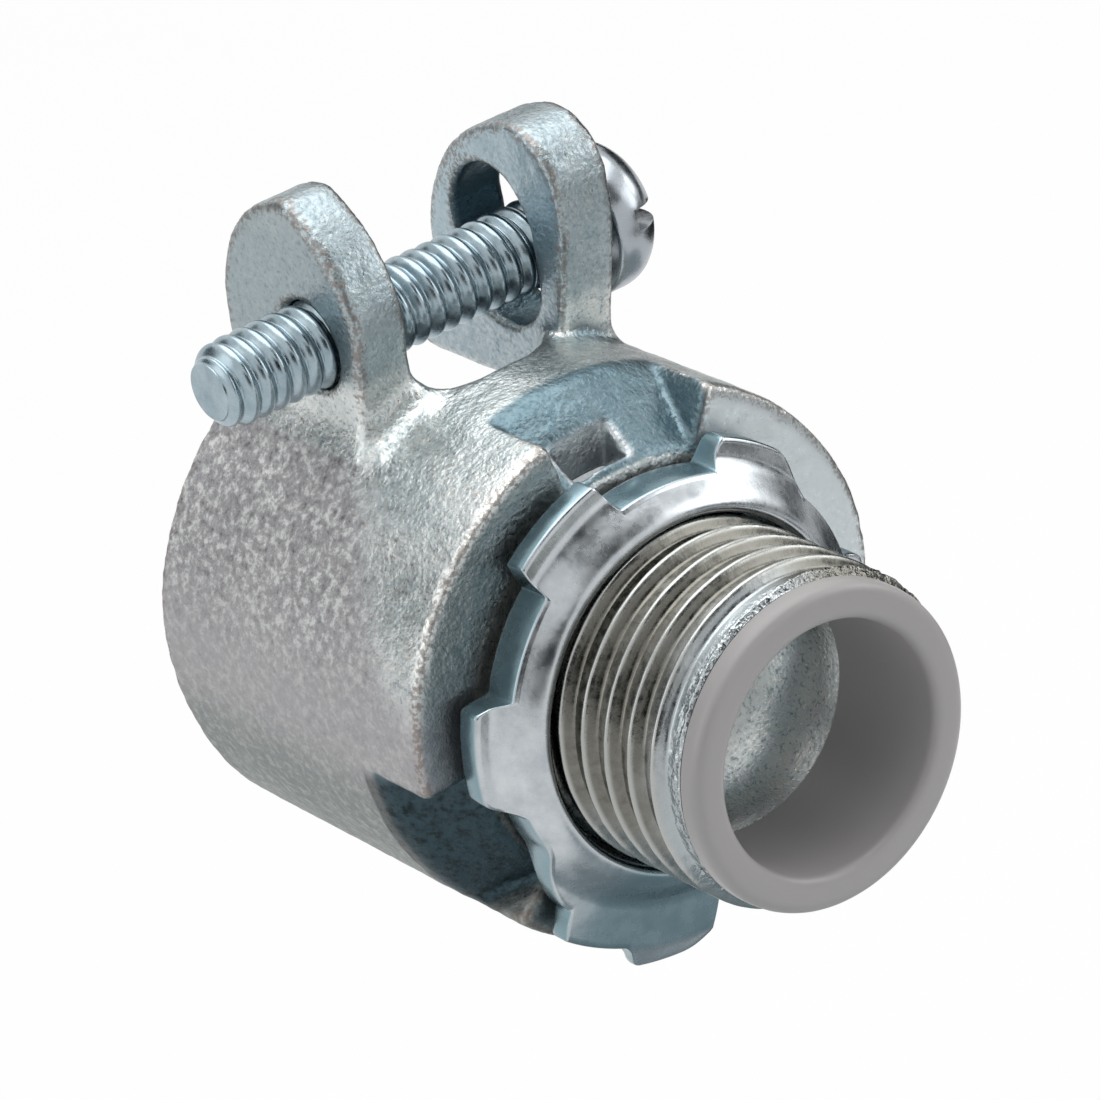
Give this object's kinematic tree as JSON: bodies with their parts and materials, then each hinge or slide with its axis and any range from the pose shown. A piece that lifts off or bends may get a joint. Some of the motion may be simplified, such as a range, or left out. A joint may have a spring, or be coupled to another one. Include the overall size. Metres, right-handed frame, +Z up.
{
  "type": "straight conduit connector",
  "caption": "Straight squeeze connector for flexible metal conduit: a split cast barrel with clamp ears and a screw, a threaded nipple with a locknut, and an insulated throat.",
  "frame": {"origin": "on the common axis of nipple and conduit socket, at the front face of the shoulder that seats on the box wall", "axes": "+X out along the threaded nipple, +Z up through the split to the clamp ears, clamp screw along Y with its head at +Y"},
  "size_m": [0.0434, 0.034, 0.0473],
  "materials": {
    "zinc_plated_casting": "sand-cast malleable iron, bright zinc electroplate",
    "grey_thermoplastic": "injection-moulded, satin",
    "zinc_plated_stamping": "stamped steel, bright zinc electroplate",
    "zinc_plated_screw": "rolled steel, clear blue zinc electroplate"
  },
  "bodies": {
    "connector": {"connector_body": "zinc_plated_casting", "throat_insulator": "grey_thermoplastic"},
    "locknut": {"locknut": "zinc_plated_stamping"},
    "clamp_screw": {"clamp_screw": "zinc_plated_screw"}
  },
  "joints": [
    {"name": "locknut_travel", "type": "slide", "parent": "connector", "child": "locknut", "axis": [1, 0, 0], "range_m": [-0.00085, 0.0165]},
    {"name": "clamp_screw_travel", "type": "slide", "parent": "connector", "child": "clamp_screw", "axis": [0, 1, 0], "range_m": [-0.00127, 0.0127]}
  ]
}
